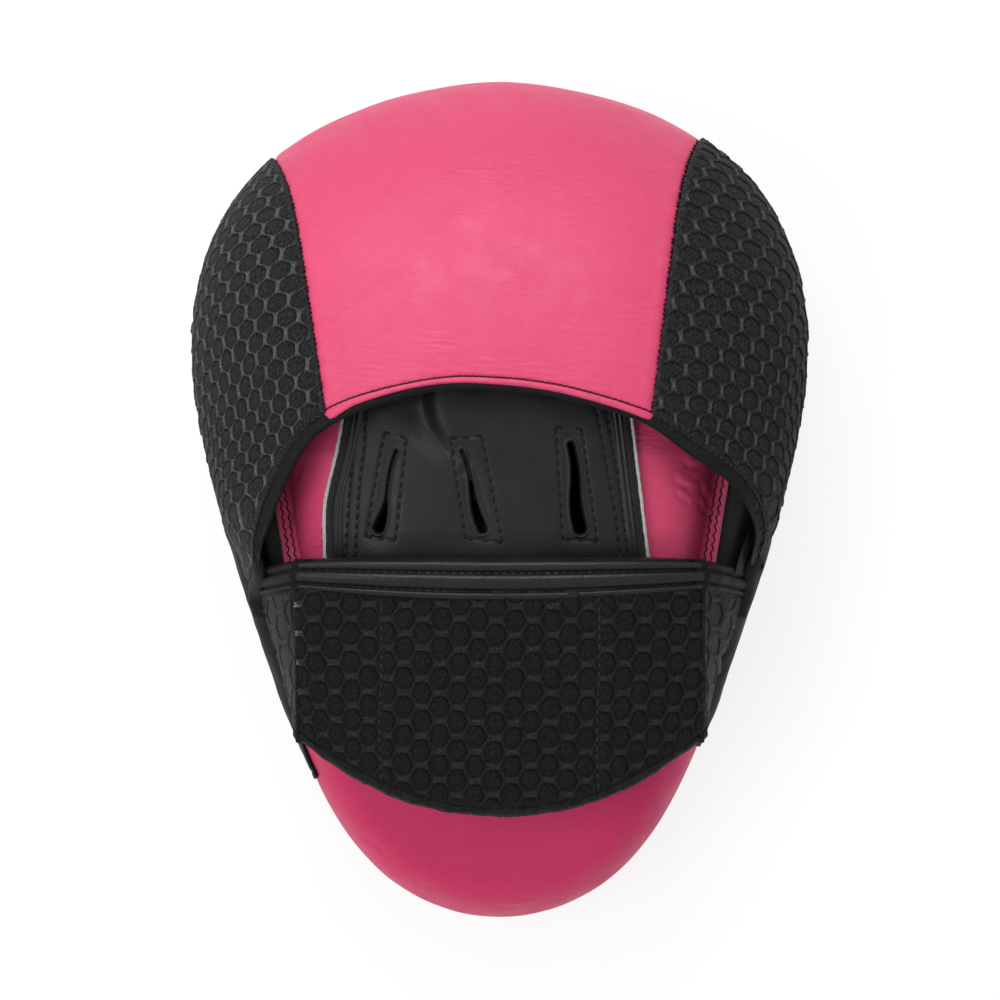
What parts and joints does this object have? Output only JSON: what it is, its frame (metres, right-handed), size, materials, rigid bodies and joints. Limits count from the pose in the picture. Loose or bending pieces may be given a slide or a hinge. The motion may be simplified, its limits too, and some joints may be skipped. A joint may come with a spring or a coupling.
{
  "type": "focus mitt",
  "caption": "Curved boxing focus mitt with a padded striking face, a foam hood over the fingers, a hand glove with palm ball, and a mesh wrist cuff.",
  "frame": {"origin": "under the middle of the pad's outline, on the surface that the mitt lies on face down", "axes": "+Y to the fingertip end, +Z out of the back of the hand, +X to the thumb side"},
  "size_m": [0.1889, 0.2594, 0.0967],
  "materials": {
    "pink_leather": "satin synthetic leather, fine grain",
    "black_leather": "matt synthetic leather, fine grain",
    "black_mesh": "spacer mesh with raised honeycomb ribs",
    "black_tape": "woven binding tape",
    "lining": "smooth knitted lining",
    "foam": "closed cell foam, matt"
  },
  "bodies": {
    "mitt": {"pad_cover": "pink_leather", "face_panel": "pink_leather", "target_disc": "black_leather", "face_piping": "black_leather", "front_foam": "foam", "middle_foam": "foam", "back_foam": "foam", "palm_panel": "black_leather", "palm_lining": "lining", "palm_ball_core": "foam", "palm_ball_cover": "black_leather", "glove_back_panel": "black_leather", "glove_side_left": "pink_leather", "glove_side_right": "pink_leather", "glove_lining": "lining", "glove_edge_left": "black_leather", "glove_edge_right": "black_leather", "finger_dividers": "lining", "thumb_divider": "lining", "gusset_left": "black_mesh", "gusset_right": "black_mesh", "gusset_binding_left": "black_leather", "gusset_binding_right": "black_leather", "side_strip_left": "black_leather", "side_strip_right": "black_leather"},
    "hood": {"hood_panel": "pink_leather", "hood_mesh_left": "black_mesh", "hood_mesh_right": "black_mesh", "hood_foam": "foam", "hood_lining": "lining", "hood_tape": "black_tape", "hood_welt": "pink_leather"},
    "cuff": {"cuff_panel": "black_mesh", "cuff_foam": "foam", "cuff_lining": "lining", "cuff_binding": "black_leather", "cuff_hem": "black_tape"}
  },
  "joints": [
    {"name": "hood_flex", "type": "hinge", "parent": "mitt", "child": "hood", "pos_m": [0, 0.1291, 0.0284], "axis": [-1, 0, 0], "range_deg": [0, 8], "stiffness_Nm_per_rad": 0.8},
    {"name": "cuff_lift", "type": "slide", "parent": "mitt", "child": "cuff", "axis": [0, 0, 1], "range_m": [0, 0.01], "stiffness_N_per_m": 300}
  ]
}
